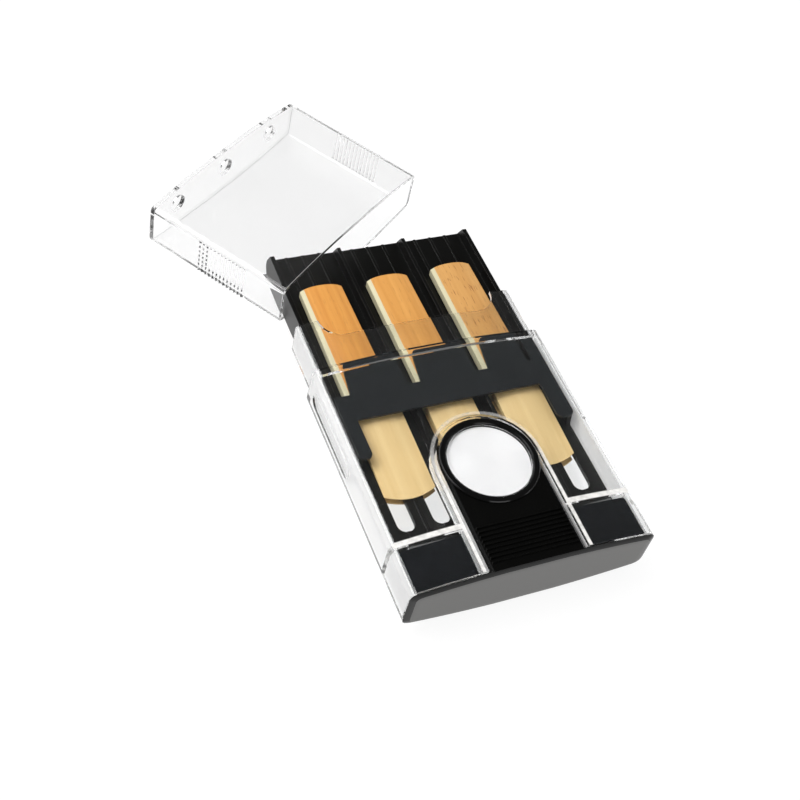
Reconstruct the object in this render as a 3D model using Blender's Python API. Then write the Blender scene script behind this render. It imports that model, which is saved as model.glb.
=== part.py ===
"""A double-sided case for six clarinet reeds, lying on its back with its lid taken off.

X runs across the case, Y from its base end to its open end, Z up. All lengths are in metres.
The case is modelled about its middle plane and from its base end. Empties place it with the
origin on the surface that it rests on, under the middle of the body.
"""

import math

import bmesh
import bpy
from mathutils import Matrix, Vector

for old in list(bpy.data.objects):
    bpy.data.objects.remove(old)

# Outside of the case. Both faces are domed, with a flat strip along the middle.
CASE_WIDTH = 0.0628
CASE_DEPTH = 0.016
DOME_DROP = 0.002
REST_STRIP = 0.016
EDGE_RADIUS = 0.0019
INNER_RADIUS = 0.0006
END_ROUNDING = 0.0007

# Gaps: between parts that touch, for parts that slide, and how far a cutter overruns.
SEAT_GAP = 0.0003
RUNNING_GAP = 0.0003
OVERRUN = 0.002
SAME_POINT = 0.00001

# Sleeve: the clear body with its collar.
BODY_END = 0.066
SIDE_WALL = 0.0015
FACE_WALL = 0.0012
COLLAR_WALL = 0.0009
COLLAR_END = 0.0817
COLLAR_DIP = 0.0061
COLLAR_ROOT = 0.0014
SHOULDER_WIDTH = 0.0058
SHOULDER_FILLET = 0.006
PARTITION = 0.0015
PARTITION_BITE = 0.0004
VENT_LENGTH = 0.009
VENT_HEIGHT = 0.002
VENT_OFFSET = 0.0027
RIM_WALL = 0.0012
RIM_DEPTH = 0.0038
SLOT_RUNOUT = 0.0005
GROOVE_LENGTH = 0.0252
GROOVE_HEIGHT = 0.005
GROOVE_DEPTH = 0.0005
GROOVE_MARGIN = 0.003

# Lid: slides over the collar and stops at the body's end.
LID_LENGTH = 0.044
LID_WALL = 0.0011
LID_END_WALL = 0.0012
LID_FIT = 0.0002
LID_VENT_RADIUS = 0.0025
LID_VENT_SPACING = 0.0205
LID_VENT_RISE = 0.0006
LID_VENT_COUNT = 3
GRIP_START = 0.0125
GRIP_PITCH = 0.0012
GRIP_COUNT = 13
GRIP_WIDTH = 0.0006
GRIP_RAISE = 0.0003
GRIP_HEIGHT = 0.0102

# Where the lid lies: turned, with the inner corner of its mouth beside the tray, back from the tray's end.
LID_TURN = math.radians(34.8)
LID_CORNER_BACK = 0.0152

# Tray: the black carrier for three reeds a side.
TRAY_SIDE_GAP = 0.0005
TRAY_PLATE = 0.0012
TRAY_LID_GAP = 0.0003
WALL_WIDTH = 0.0012
DIVIDER_WIDTH = 0.001
DIVIDER_LOW_RISE = 0.0029
DIVIDER_LOW_END = 0.043
DIVIDER_RAMP = 0.003
BAY_COUNT = 3
RAIL_WIDTH = 0.0008
RAIL_RISE = 0.0002
RAIL_SPACING = 0.0046
RAIL_COUNT = 3
TIP_SLOPE = 0.0017
DRAIN_WIDTH = 0.0043
DRAIN_SPACING = 0.009
DRAIN_START = 0.0192
DRAIN_END = 0.058

# Comb: the charcoal band with a spring tab for each reed.
COMB_THICKNESS = 0.0007
BAND_START = 0.0496
BAND_END = 0.0572
TAB_END = 0.067
TAB_WIDTH = 0.0138
TAB_LEFT = 0.0043
TAB_ROOT_LEFT = 0.0057
TAB_ROUND = 0.0011
SLIT_ROUND = 0.0004
TAB_DROP = 0.0002
TAB_BEND = 0.0063
TAB_BEND_SHARES = (0.25, 0.5, 0.75, 1)
LEG_WIDTH = 0.0033
RIGHT_LEG_WIDTH = 0.0046
LEG_START = 0.0382
LEG_ROUND = 0.0016
LEG_SLIT = 0.0013

# Reed: flat below, bark above, cut down to a thin tip.
REED_LENGTH = 0.0675
REED_HEEL_WIDTH = 0.0115
REED_TIP_WIDTH = 0.013
REED_THICKNESS = 0.0028
REED_EDGE = 0.0019
REED_BARK = 0.038
REED_STEP = 0.0003
REED_TIP = 0.00015
REED_TIP_SAG = 0.0018
REED_HEEL_SAG = 0.0006
REED_VAMP_CROWN_SHARE = 0.72
REED_VAMP_POWER = 0.92
REED_SEAT_GAP = 0.0002
REED_HEEL_Y = 0.0948
RIGHT_REED_OUT = 0.0005
REED_STATION_SHARES = (0.15, 0.32, 0.5, 0.68, 0.84, 0.95)
REED_ACROSS = 7
LEFT_REED_TURN = math.radians(-0.4)

# Drawer: end cap, web and tongue.
CAP_THICKNESS = 0.0018
CAP_CORNER = 0.0016
CAP_ROUNDING = 0.0008
CAP_ROUND_DEPTH = 0.0012
WEB_THICKNESS = 0.0012
TONGUE_THICKNESS = 0.0015
TONGUE_CHAMFER = 0.0008
TONGUE_RIB = 0.0012
TONGUE_RIB_INSET = 0.0008
RIDGE_COUNT = 9
RIDGE_PITCH = 0.00115
RIDGE_WIDTH = 0.0006
RIDGE_RAISE = 0.00035
RIDGE_INSET = 0.0012
RIDGE_MARGIN = 0.0004

# Indicator: the cup at the tongue's end and what lies in it.
CUP_CENTRE_Y = 0.029
CUP_RIM_RADIUS = 0.0123
CUP_RIM_RAISE = 0.0005
CUP_BARREL = 0.0113
CUP_WALL = 0.0007
CUP_FLOOR = 0.0008
CUP_DEPTH = 0.0045
CUP_ROUND = 0.00025
DISC_GAP = 0.0002
PAD_THICKNESS = 0.0018
CARD_THICKNESS = 0.0004
WINDOW_THICKNESS = 0.0008
WINDOW_ROUND = 0.0002

# Foam blocks, one in each corner of the drawer.
FOAM_LENGTH = 0.0106
FOAM_SIDE_GAP = 0.0005

# Facets of arcs.
FACE_STEPS = 6
EDGE_STEPS = 3
CORNER_STEPS = 4
ARCH_STEPS = 14
ROUND_STEPS = 48

# Sizes that follow from those above.
HALF_WIDTH = CASE_WIDTH / 2
HALF_DEPTH = CASE_DEPTH / 2
DOME_RADIUS = (HALF_WIDTH**2 - (REST_STRIP / 2) ** 2) / (2 * DOME_DROP)
SLEEVE_START = CAP_THICKNESS + RUNNING_GAP
COLLAR_OUTSIDE = LID_WALL + LID_FIT
COLLAR_INSIDE = COLLAR_OUTSIDE + COLLAR_WALL
SLOT_HALF = CUP_RIM_RADIUS + RUNNING_GAP
ARCH_CENTRE_Y = CUP_CENTRE_Y + SLOT_RUNOUT
TONGUE_HALF = CUP_RIM_RADIUS
CUP_BOTTOM = HALF_DEPTH - CUP_DEPTH
FOAM_START = CAP_THICKNESS + SEAT_GAP
WEB_END = FOAM_START + FOAM_LENGTH
PARTITION_START = WEB_END + RUNNING_GAP
PARTITION_END = PARTITION_START + PARTITION
TRAY_START = PARTITION_END + SEAT_GAP
TRAY_END = BODY_END + LID_LENGTH - LID_END_WALL - TRAY_LID_GAP
TRAY_WIDTH = CASE_WIDTH - 2 * (COLLAR_INSIDE + TRAY_SIDE_GAP)
BAY_PITCH = (TRAY_WIDTH - WALL_WIDTH) / BAY_COUNT
REED_SEAT = TRAY_PLATE / 2 + RAIL_RISE + REED_SEAT_GAP
RIM_BOTTOM = HALF_DEPTH - RIM_DEPTH


def dome(x):
    """Half the depth of the case at a distance x from its middle."""
    strip = REST_STRIP / 2
    reach = max(abs(x), strip)
    return HALF_DEPTH - (reach**2 - strip**2) / (2 * DOME_RADIUS)


# The flat comb fits under the face at the tray's sides, and the tray's walls and dividers carry it.
COMB_BOTTOM = dome(TRAY_WIDTH / 2) - FACE_WALL - SEAT_GAP - COMB_THICKNESS
TRAY_RISE = COMB_BOTTOM - SEAT_GAP

# The middle of the lid's mouth.
LID_INNER_HALF = HALF_WIDTH - LID_WALL
LID_MOUTH_X = LID_INNER_HALF * math.cos(LID_TURN) - TRAY_WIDTH / 2 - SEAT_GAP
LID_MOUTH_Y = TRAY_END - LID_CORNER_BACK + LID_INNER_HALF * math.sin(LID_TURN)


def case_section(side_inset, face_inset, radius):
    """The (x, z) outline of the case, drawn in from its sides and faces, with rounded edges."""
    half = HALF_WIDTH - side_inset
    lean = (half - radius) / DOME_RADIUS
    top_x = half - radius + radius * math.sin(lean)
    centre_z = dome(top_x) - face_inset - radius * math.cos(lean)
    corner = []
    for step in range(EDGE_STEPS + 1):
        angle = (math.pi / 2 - lean) * step / EDGE_STEPS
        corner.append((half - radius + radius * math.cos(angle), centre_z + radius * math.sin(angle)))
    strip = REST_STRIP / 2
    face = []
    for step in range(1, FACE_STEPS + 1):
        x = top_x + (strip - top_x) * step / FACE_STEPS
        face.append((x, dome(x) - face_inset))
    quarter = corner + face
    top = quarter + [(-x, z) for x, z in reversed(quarter)]
    return top + [(x, -z) for x, z in reversed(top)]


def rounded(corners, steps=CORNER_STEPS):
    """An outline of (u, v, radius) corners, each turned into an arc of its radius."""
    outline = []
    for index, (u, v, radius) in enumerate(corners):
        corner = Vector((u, v))
        if radius == 0:
            outline.append(corner)
            continue
        before = (Vector(corners[index - 1][:2]) - corner).normalized()
        after = (Vector(corners[(index + 1) % len(corners)][:2]) - corner).normalized()
        half_angle = before.angle(after) / 2
        centre = corner + (before + after).normalized() * (radius / math.sin(half_angle))
        start = corner + before * (radius / math.tan(half_angle)) - centre
        turn = math.pi - 2 * half_angle
        if before.x * after.y - before.y * after.x > 0:
            turn = -turn
        for step in range(steps + 1):
            outline.append(centre + Matrix.Rotation(turn * step / steps, 2) @ start)
    kept = [point for index, point in enumerate(outline) if (point - outline[index - 1]).length > SAME_POINT]
    return [(point.x, point.y) for point in kept]


def loft(rings):
    """A closed solid through a row of rings that have equally many points."""
    mesh = bmesh.new()
    rows = [[mesh.verts.new(point) for point in ring] for ring in rings]
    for lower, upper in zip(rows, rows[1:]):
        for index in range(len(lower)):
            after = (index + 1) % len(lower)
            mesh.faces.new((lower[index], lower[after], upper[after], upper[index]))
    mesh.faces.new(rows[0])
    mesh.faces.new(rows[-1])
    bmesh.ops.recalc_face_normals(mesh, faces=mesh.faces)
    return mesh


def along_x(outline, start, end):
    """A (y, z) outline carried along X."""
    return loft([[(x, y, z) for y, z in outline] for x in (start, end)])


def along_y(outline, start, end):
    """An (x, z) outline carried along Y."""
    return loft([[(x, y, z) for x, z in outline] for y in (start, end)])


def along_z(outline, start, end):
    """An (x, y) outline carried along Z."""
    return loft([[(x, y, z) for x, y in outline] for z in (start, end)])


def block(low, high):
    """A box between two corners."""
    outline = [(low[0], low[1]), (high[0], low[1]), (high[0], high[1]), (low[0], high[1])]
    return along_z(outline, low[2], high[2])


def turned(profile):
    """A closed solid of revolution about Z: the profile starts and ends on the axis."""
    mesh = bmesh.new()
    rows = []
    for radius, z in profile:
        if radius == 0:
            rows.append([mesh.verts.new((0, 0, z))])
            continue
        angles = [2 * math.pi * step / ROUND_STEPS for step in range(ROUND_STEPS)]
        rows.append([mesh.verts.new((radius * math.cos(a), radius * math.sin(a), z)) for a in angles])
    for lower, upper in zip(rows, rows[1:]):
        for step in range(ROUND_STEPS):
            after = (step + 1) % ROUND_STEPS
            corners = [lower[step % len(lower)], lower[after % len(lower)]]
            corners += [upper[after % len(upper)], upper[step % len(upper)]]
            mesh.faces.new(dict.fromkeys(corners))
    bmesh.ops.recalc_face_normals(mesh, faces=mesh.faces)
    return mesh


def shape(name, mesh):
    """An object in the scene that holds a bmesh."""
    data = bpy.data.meshes.new(name)
    mesh.to_mesh(data)
    mesh.free()
    item = bpy.data.objects.new(name, data)
    bpy.context.scene.collection.objects.link(item)
    return item


def placed(name, data, location, turn):
    """One more object with a mesh that other objects share."""
    item = bpy.data.objects.new(name, data)
    item.location = location
    item.rotation_euler = turn
    bpy.context.scene.collection.objects.link(item)
    return item


def combine(item, mesh, operation):
    """Join a bmesh to an object, cut it out or keep what both share."""
    tool = shape("tool", mesh)
    modifier = item.modifiers.new(operation, "BOOLEAN")
    modifier.operation = operation
    modifier.solver = "EXACT"
    modifier.object = tool
    bpy.context.view_layer.update()
    evaluated = item.evaluated_get(bpy.context.evaluated_depsgraph_get())
    result = bpy.data.meshes.new_from_object(evaluated)
    item.modifiers.clear()
    used = (item.data, tool.data)
    item.data = result
    bpy.data.objects.remove(tool)
    for data in used:
        bpy.data.meshes.remove(data)


def join(item, mesh):
    combine(item, mesh, "UNION")


def cut(item, mesh):
    combine(item, mesh, "DIFFERENCE")


def finish(item, material, parent, smooth_angle=math.radians(35)):
    """Material, smooth shading below an angle, and the frame that carries the piece."""
    item.data.materials.clear()
    item.data.materials.append(material)
    item.data.shade_smooth()
    item.data.set_sharp_from_angle(angle=smooth_angle)
    item.parent = parent
    return item


def plastic(name, colour, roughness, clear=0.0):
    """A Principled material with a colour, a roughness and a share of clearness."""
    material = bpy.data.materials.new(name)
    material.use_nodes = True
    surface = material.node_tree.nodes["Principled BSDF"]
    surface.inputs["Base Color"].default_value = (*colour, 1)
    surface.inputs["Roughness"].default_value = roughness
    surface.inputs["Metallic"].default_value = 0
    surface.inputs["Transmission Weight"].default_value = clear
    surface.inputs["IOR"].default_value = 1.49
    material.diffuse_color = (*colour, 1 - 0.7 * clear)
    return material


def frame(name, location, turn=0.0):
    """An empty that places the pieces which it carries."""
    item = bpy.data.objects.new(name, None)
    item.location = location
    item.rotation_euler = (0, 0, turn)
    bpy.context.scene.collection.objects.link(item)
    return item


def bay_centres():
    """The middle of each reed bay, left to right."""
    return [BAY_PITCH * (bay - (BAY_COUNT - 1) / 2) for bay in range(BAY_COUNT)]


def arch_outline(half_width, start):
    """A U that is open at the base and ends in a half circle round the arch's centre."""
    outline = [(half_width, start)]
    for step in range(ARCH_STEPS + 1):
        angle = math.pi * step / ARCH_STEPS
        outline.append((half_width * math.cos(angle), ARCH_CENTRE_Y + half_width * math.sin(angle)))
    outline.append((-half_width, start))
    return outline


def collar_notch():
    """The dip between the collar's shoulders, with a fillet at the foot of each shoulder."""
    half = HALF_WIDTH - COLLAR_OUTSIDE - SHOULDER_WIDTH
    end = COLLAR_END + OVERRUN
    dip = COLLAR_END - COLLAR_DIP
    fillet = SHOULDER_FILLET
    corners = [(half, end, 0), (-half, end, 0), (-half, dip, fillet), (half, dip, fillet)]
    return along_z(rounded(corners, ARCH_STEPS // 2), -CASE_DEPTH, CASE_DEPTH)


def drawer_slot():
    """What the tongue and the cup run through: the face, the rim's inside and the partition's top."""
    outline = arch_outline(SLOT_HALF, SLEEVE_START - OVERRUN)
    return along_z(outline, CUP_BOTTOM - RUNNING_GAP - CUP_ROUND, CASE_DEPTH)


def slot_rim():
    """The wall that stands round the drawer's slot, up to the middle of the face."""
    start = SLEEVE_START
    rim = shape("rim", along_z(arch_outline(SLOT_HALF + RIM_WALL, start), RIM_BOTTOM, CASE_DEPTH))
    inside = case_section(SIDE_WALL / 2, FACE_WALL / 2, EDGE_RADIUS)
    combine(rim, along_y(inside, start - OVERRUN, BODY_END), "INTERSECT")
    mesh = bmesh.new()
    mesh.from_mesh(rim.data)
    data = rim.data
    bpy.data.objects.remove(rim)
    bpy.data.meshes.remove(data)
    return mesh


def partition_vents(sleeve):
    """Slots that let damp air from the foam into the reed chamber."""
    middle = (SLOT_HALF + RIM_WALL + HALF_WIDTH - SIDE_WALL) / 2
    for side in (-1, 1):
        for level in (-1, 1):
            x = side * middle
            z = level * VENT_OFFSET
            low = (x - VENT_LENGTH / 2, PARTITION_START - OVERRUN / 2, z - VENT_HEIGHT / 2)
            high = (x + VENT_LENGTH / 2, PARTITION_END + OVERRUN / 2, z + VENT_HEIGHT / 2)
            cut(sleeve, block(low, high))


def side_grooves(sleeve):
    """A long shallow finger groove with round ends on each narrow side."""
    end = BODY_END - GROOVE_MARGIN
    start = end - GROOVE_LENGTH
    half = GROOVE_HEIGHT / 2
    corners = [(start, -half, half), (end, -half, half), (end, half, half), (start, half, half)]
    outline = rounded(corners)
    for side in (-1, 1):
        floor = side * (HALF_WIDTH - GROOVE_DEPTH)
        cut(sleeve, along_x(outline, floor, side * (HALF_WIDTH + OVERRUN)))


def make_sleeve():
    """The clear body: a tube with a collar, a partition and the slot for the drawer's tongue."""
    sleeve = shape("sleeve", along_y(case_section(0, 0, EDGE_RADIUS), SLEEVE_START, BODY_END))
    root = BODY_END - COLLAR_ROOT
    outside = case_section(COLLAR_OUTSIDE, COLLAR_OUTSIDE, EDGE_RADIUS - COLLAR_OUTSIDE + INNER_RADIUS)
    join(sleeve, along_y(outside, root - OVERRUN, COLLAR_END))
    cut(sleeve, along_y(case_section(SIDE_WALL, FACE_WALL, INNER_RADIUS), SLEEVE_START - OVERRUN, root))
    inside = case_section(COLLAR_INSIDE, COLLAR_INSIDE, INNER_RADIUS)
    cut(sleeve, along_y(inside, root - OVERRUN, COLLAR_END + OVERRUN))
    cut(sleeve, collar_notch())
    bite = case_section(SIDE_WALL - PARTITION_BITE, FACE_WALL - PARTITION_BITE, INNER_RADIUS)
    join(sleeve, along_y(bite, PARTITION_START, PARTITION_END))
    join(sleeve, slot_rim())
    cut(sleeve, drawer_slot())
    partition_vents(sleeve)
    side_grooves(sleeve)
    return sleeve


def lid_vents(lid):
    """Round holes in the closed end."""
    for hole in range(LID_VENT_COUNT):
        x = LID_VENT_SPACING * (hole - (LID_VENT_COUNT - 1) / 2)
        outline = []
        for step in range(ROUND_STEPS // 2):
            angle = 4 * math.pi * step / ROUND_STEPS
            z = LID_VENT_RISE + LID_VENT_RADIUS * math.sin(angle)
            outline.append((x + LID_VENT_RADIUS * math.cos(angle), z))
        cut(lid, along_y(outline, LID_LENGTH - LID_END_WALL - OVERRUN, LID_LENGTH + OVERRUN))


def lid_grips(lid):
    """Fine upright ribs on both narrow sides."""
    for side in (-1, 1):
        for rib in range(GRIP_COUNT):
            y = GRIP_START + GRIP_PITCH * rib
            foot = side * (HALF_WIDTH - GRIP_RAISE)
            outline = [(foot, y - GRIP_WIDTH), (side * (HALF_WIDTH + GRIP_RAISE), y), (foot, y + GRIP_WIDTH)]
            join(lid, along_z(outline, -GRIP_HEIGHT / 2, GRIP_HEIGHT / 2))


def make_lid():
    """The clear cap, its mouth at y = 0 and its closed end with softened edges."""
    rings = []
    for step in range(EDGE_STEPS + 1):
        angle = math.pi / 2 * step / EDGE_STEPS
        inset = END_ROUNDING * (1 - math.cos(angle))
        y = LID_LENGTH - END_ROUNDING * (1 - math.sin(angle))
        rings.append([(x, y, z) for x, z in case_section(inset, inset, EDGE_RADIUS - inset)])
    rings.insert(0, [(x, 0, z) for x, z in case_section(0, 0, EDGE_RADIUS)])
    lid = shape("lid", loft(rings))
    inside = case_section(LID_WALL, LID_WALL, EDGE_RADIUS - LID_WALL)
    cut(lid, along_y(inside, -OVERRUN, LID_LENGTH - LID_END_WALL))
    lid_vents(lid)
    lid_grips(lid)
    return lid


def tray_section():
    """The (x, z) outline of the tray: walls, dividers and low rails on both faces of one plate."""
    plate = TRAY_PLATE / 2
    wall_x = (TRAY_WIDTH - WALL_WIDTH) / 2
    divider_x = [centre + BAY_PITCH / 2 for centre in bay_centres()[:-1]]
    raised = [(x, WALL_WIDTH, TRAY_RISE) for x in (-wall_x, wall_x)]
    raised += [(x, DIVIDER_WIDTH, TRAY_RISE) for x in divider_x]
    for centre in bay_centres():
        for rail in range(RAIL_COUNT):
            x = centre + RAIL_SPACING * (rail - (RAIL_COUNT - 1) / 2)
            raised.append((x, RAIL_WIDTH, plate + RAIL_RISE))
    top = []
    for x, width, rise in sorted(raised, reverse=True):
        right = x + width / 2
        left = x - width / 2
        top += [(right, plate), (right, rise), (left, rise), (left, plate)]
    top = top[1:-1]
    return top + [(x, -z) for x, z in reversed(top)]


def tray_drains(tray):
    """Two long slots with round ends in each bay."""
    half = DRAIN_WIDTH / 2
    for centre in bay_centres():
        for side in (-1, 1):
            x = centre + side * DRAIN_SPACING / 2
            corners = [(x - half, DRAIN_START, half), (x + half, DRAIN_START, half)]
            corners += [(x + half, DRAIN_END, half), (x - half, DRAIN_END, half)]
            outline = rounded(corners)
            cut(tray, along_z(outline, -OVERRUN, OVERRUN))


def make_tray():
    """The black carrier: one section drawn along the case, then its slots, low dividers and sloped tips."""
    tray = shape("tray", along_y(tray_section(), TRAY_START, TRAY_END))
    tray_drains(tray)
    low_end = DIVIDER_LOW_END
    top = TRAY_RISE + OVERRUN
    ramp = [(TRAY_START - OVERRUN, DIVIDER_LOW_RISE), (low_end, DIVIDER_LOW_RISE)]
    ramp += [(low_end + DIVIDER_RAMP, TRAY_RISE), (low_end + DIVIDER_RAMP, top), (TRAY_START - OVERRUN, top)]
    inner_half = TRAY_WIDTH / 2 - WALL_WIDTH - OVERRUN
    cut(tray, along_x(ramp, -inner_half, inner_half))
    for side in (-1, 1):
        foot = side * (TRAY_PLATE / 2 + RAIL_RISE)
        head = side * TRAY_RISE
        over = side * top
        tip = [(TRAY_END - TIP_SLOPE, head), (TRAY_END, foot)]
        tip += [(TRAY_END + OVERRUN, foot), (TRAY_END + OVERRUN, over), (TRAY_END - TIP_SLOPE, over)]
        cut(tray, along_x(tip, -HALF_WIDTH, HALF_WIDTH))
    return tray


def comb_outline():
    """The (x, y) outline of the comb: band, three tabs that reach up and two legs that reach down."""
    half = TRAY_WIDTH / 2
    leg = half - LEG_WIDTH
    right_leg = half - RIGHT_LEG_WIDTH
    leg_top = BODY_END - COLLAR_ROOT - RUNNING_GAP
    corners = [(-half, BAND_END, 0), (-half, LEG_START, LEG_ROUND), (-leg, LEG_START, LEG_ROUND)]
    corners += [(-leg, BAND_START, SLIT_ROUND), (right_leg, BAND_START, SLIT_ROUND)]
    corners += [(right_leg, LEG_START, LEG_ROUND), (half, LEG_START, LEG_ROUND)]
    corners += [(half, leg_top, SLIT_ROUND), (leg, leg_top, SLIT_ROUND), (leg, BAND_END, SLIT_ROUND)]
    for centre in reversed(bay_centres()):
        left = centre - TAB_LEFT
        right = min(left + TAB_WIDTH, leg - LEG_SLIT)
        corners += [(right, BAND_END, SLIT_ROUND), (right, TAB_END, SLIT_ROUND)]
        corners += [(left, TAB_END, TAB_ROUND), (centre - TAB_ROOT_LEFT, BAND_END, SLIT_ROUND)]
    return rounded(corners)


def tab_drop(x, y):
    """How far a tab dips towards its reed at a point of the comb."""
    if abs(x) > TRAY_WIDTH / 2 - LEG_WIDTH - LEG_SLIT / 2:
        return 0
    share = min(max((y - BAND_END) / TAB_BEND, 0), 1)
    return TAB_DROP * share * share * (3 - 2 * share)


def make_comb(name):
    """A thin flat band with its tabs dipped towards the reeds."""
    mesh = along_z(comb_outline(), COMB_BOTTOM, COMB_BOTTOM + COMB_THICKNESS)
    for share in TAB_BEND_SHARES:
        parts = mesh.verts[:] + mesh.edges[:] + mesh.faces[:]
        line = (0, BAND_END + TAB_BEND * share, 0)
        bmesh.ops.bisect_plane(mesh, geom=parts, dist=SAME_POINT, plane_co=line, plane_no=(0, 1, 0))
    bmesh.ops.triangulate(mesh, faces=mesh.faces[:])
    for vertex in mesh.verts:
        vertex.co.z -= tab_drop(vertex.co.x, vertex.co.y)
    return shape(name, mesh)


def reed_ring(distance):
    """One cross-section of the reed at a distance from its heel: flat below, curved above."""
    share = distance / REED_LENGTH
    width = REED_HEEL_WIDTH + (REED_TIP_WIDTH - REED_HEEL_WIDTH) * share
    if distance <= REED_BARK:
        crown = REED_THICKNESS
        edge = REED_EDGE
    else:
        vamp = (REED_LENGTH - distance) / (REED_LENGTH - REED_BARK)
        crown = REED_TIP + (REED_THICKNESS - REED_STEP - REED_TIP) * vamp**REED_VAMP_POWER
        edge = REED_TIP + (crown - REED_TIP) * REED_VAMP_CROWN_SHARE
    heel_sag = REED_HEEL_SAG if distance == 0 else 0
    tip_sag = REED_TIP_SAG if distance == REED_LENGTH else 0
    lower = []
    upper = []
    for step in range(REED_ACROSS):
        across = 2 * step / (REED_ACROSS - 1) - 1
        x = width / 2 * across
        y = -distance - heel_sag * across**4 + tip_sag * across**2
        lower.append((x, y, 0))
        upper.append((x, y, edge + (crown - edge) * (1 - across**2)))
    return lower + upper[::-1]


def make_reed(name):
    """A reed with its heel at the origin and its tip towards the base of the case."""
    vamp = REED_LENGTH - REED_BARK
    distances = [0, REED_HEEL_SAG * 2, REED_BARK, REED_BARK + REED_STEP]
    distances += [REED_BARK + vamp * share for share in REED_STATION_SHARES]
    distances.append(REED_LENGTH)
    return shape(name, loft([reed_ring(distance) for distance in distances]))


def drawer_cap():
    """The end cap: the full outline of the case with a softened outer edge."""
    rings = []
    for step in range(EDGE_STEPS + 1):
        angle = math.pi / 2 * step / EDGE_STEPS
        side_inset = CAP_CORNER * (1 - math.sin(angle))
        face_inset = CAP_ROUNDING * (1 - math.sin(angle))
        y = CAP_ROUND_DEPTH * (1 - math.cos(angle))
        rings.append([(x, y, z) for x, z in case_section(side_inset, face_inset, EDGE_RADIUS - face_inset)])
    rings.append([(x, CAP_THICKNESS, z) for x, z in case_section(0, 0, EDGE_RADIUS)])
    return loft(rings)


def tongue_section():
    """The (x, z) outline of the tongue: domed like the case, with a chamfer along each edge."""
    low = HALF_DEPTH - TONGUE_THICKNESS
    inner = TONGUE_HALF - TONGUE_CHAMFER
    strip = REST_STRIP / 2
    right = [(TONGUE_HALF, low), (TONGUE_HALF, dome(TONGUE_HALF) - TONGUE_CHAMFER)]
    right += [(inner, dome(inner)), (strip, dome(strip))]
    return right + [(-x, z) for x, z in reversed(right)]


def tongue_ridges(drawer):
    """Finger ridges across the tongue beside the cap."""
    half = TONGUE_HALF - RIDGE_INSET
    for ridge in range(RIDGE_COUNT):
        y = SLEEVE_START + RIDGE_MARGIN + RIDGE_WIDTH / 2 + RIDGE_PITCH * ridge
        foot = dome(half) - RIDGE_RAISE
        crest = HALF_DEPTH + RIDGE_RAISE
        outline = [(y - RIDGE_WIDTH / 2, foot), (y + RIDGE_WIDTH / 2, foot)]
        outline += [(y + RIDGE_WIDTH / 4, crest), (y - RIDGE_WIDTH / 4, crest)]
        join(drawer, along_x(outline, -half, half))


def make_drawer():
    """The drawer: end cap, web between the foam blocks, and the tongue with the hole for the cup."""
    drawer = shape("drawer", drawer_cap())
    inside = CAP_THICKNESS / 2
    web_half = HALF_WIDTH - SIDE_WALL - RUNNING_GAP
    web = (web_half, WEB_END, WEB_THICKNESS / 2)
    join(drawer, block((-web[0], inside, -web[2]), web))
    join(drawer, along_y(tongue_section(), inside, CUP_CENTRE_Y))
    rounds = [2 * math.pi * step / ROUND_STEPS for step in range(ROUND_STEPS)]
    end = [(TONGUE_HALF * math.cos(a), CUP_CENTRE_Y + TONGUE_HALF * math.sin(a)) for a in rounds]
    low = HALF_DEPTH - TONGUE_THICKNESS
    join(drawer, along_z(end, low, dome(TONGUE_HALF)))
    for side in (-1, 1):
        outer = side * (TONGUE_HALF - TONGUE_RIB_INSET)
        inner = outer - side * TONGUE_RIB
        left, right = sorted((outer, inner))
        join(drawer, block((left, inside, 0), (right, WEB_END, low + TONGUE_THICKNESS / 2)))
    tongue_ridges(drawer)
    radius = CUP_BARREL + DISC_GAP
    hole = [(radius * math.cos(a), CUP_CENTRE_Y + radius * math.sin(a)) for a in rounds]
    cut(drawer, along_z(hole, low - OVERRUN, CASE_DEPTH))
    return drawer


def make_cup():
    """The cup: a barrel through the tongue's hole with a raised rim that lies on the tongue."""
    rim_top = HALF_DEPTH + CUP_RIM_RAISE
    rim_foot = HALF_DEPTH + SEAT_GAP / 2
    inside = CUP_BARREL - CUP_WALL
    profile = [(0, CUP_BOTTOM), (CUP_BARREL - CUP_ROUND, CUP_BOTTOM), (CUP_BARREL, CUP_BOTTOM + CUP_ROUND)]
    profile += [(CUP_BARREL, rim_foot), (CUP_RIM_RADIUS, rim_foot), (CUP_RIM_RADIUS - CUP_ROUND, rim_top)]
    profile += [(inside + CUP_ROUND, rim_top), (inside, rim_top - CUP_ROUND)]
    profile += [(inside, CUP_BOTTOM + CUP_FLOOR), (0, CUP_BOTTOM + CUP_FLOOR)]
    return shape("indicator_cup", turned(profile))


def make_disc(name, radius, bottom, thickness, chamfer):
    """A flat disc with a small chamfer round its upper edge."""
    top = bottom + thickness
    profile = [(0, bottom), (radius, bottom), (radius, top - chamfer), (radius - chamfer, top), (0, top)]
    return shape(name, turned(profile))


def make_foam(name):
    """A foam block that fills the space between the web, the slot's rim, the side and the face."""
    left = SLOT_HALF + RIM_WALL + SEAT_GAP
    right = HALF_WIDTH - SIDE_WALL - FOAM_SIDE_GAP
    low = WEB_THICKNESS / 2 + SEAT_GAP
    outline = [(left, low), (right, low)]
    for step in range(EDGE_STEPS + 1):
        x = right + (left - right) * step / EDGE_STEPS
        outline.append((x, dome(x) - FACE_WALL - SEAT_GAP))
    return shape(name, along_y(outline, -FOAM_LENGTH / 2, FOAM_LENGTH / 2))


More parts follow.
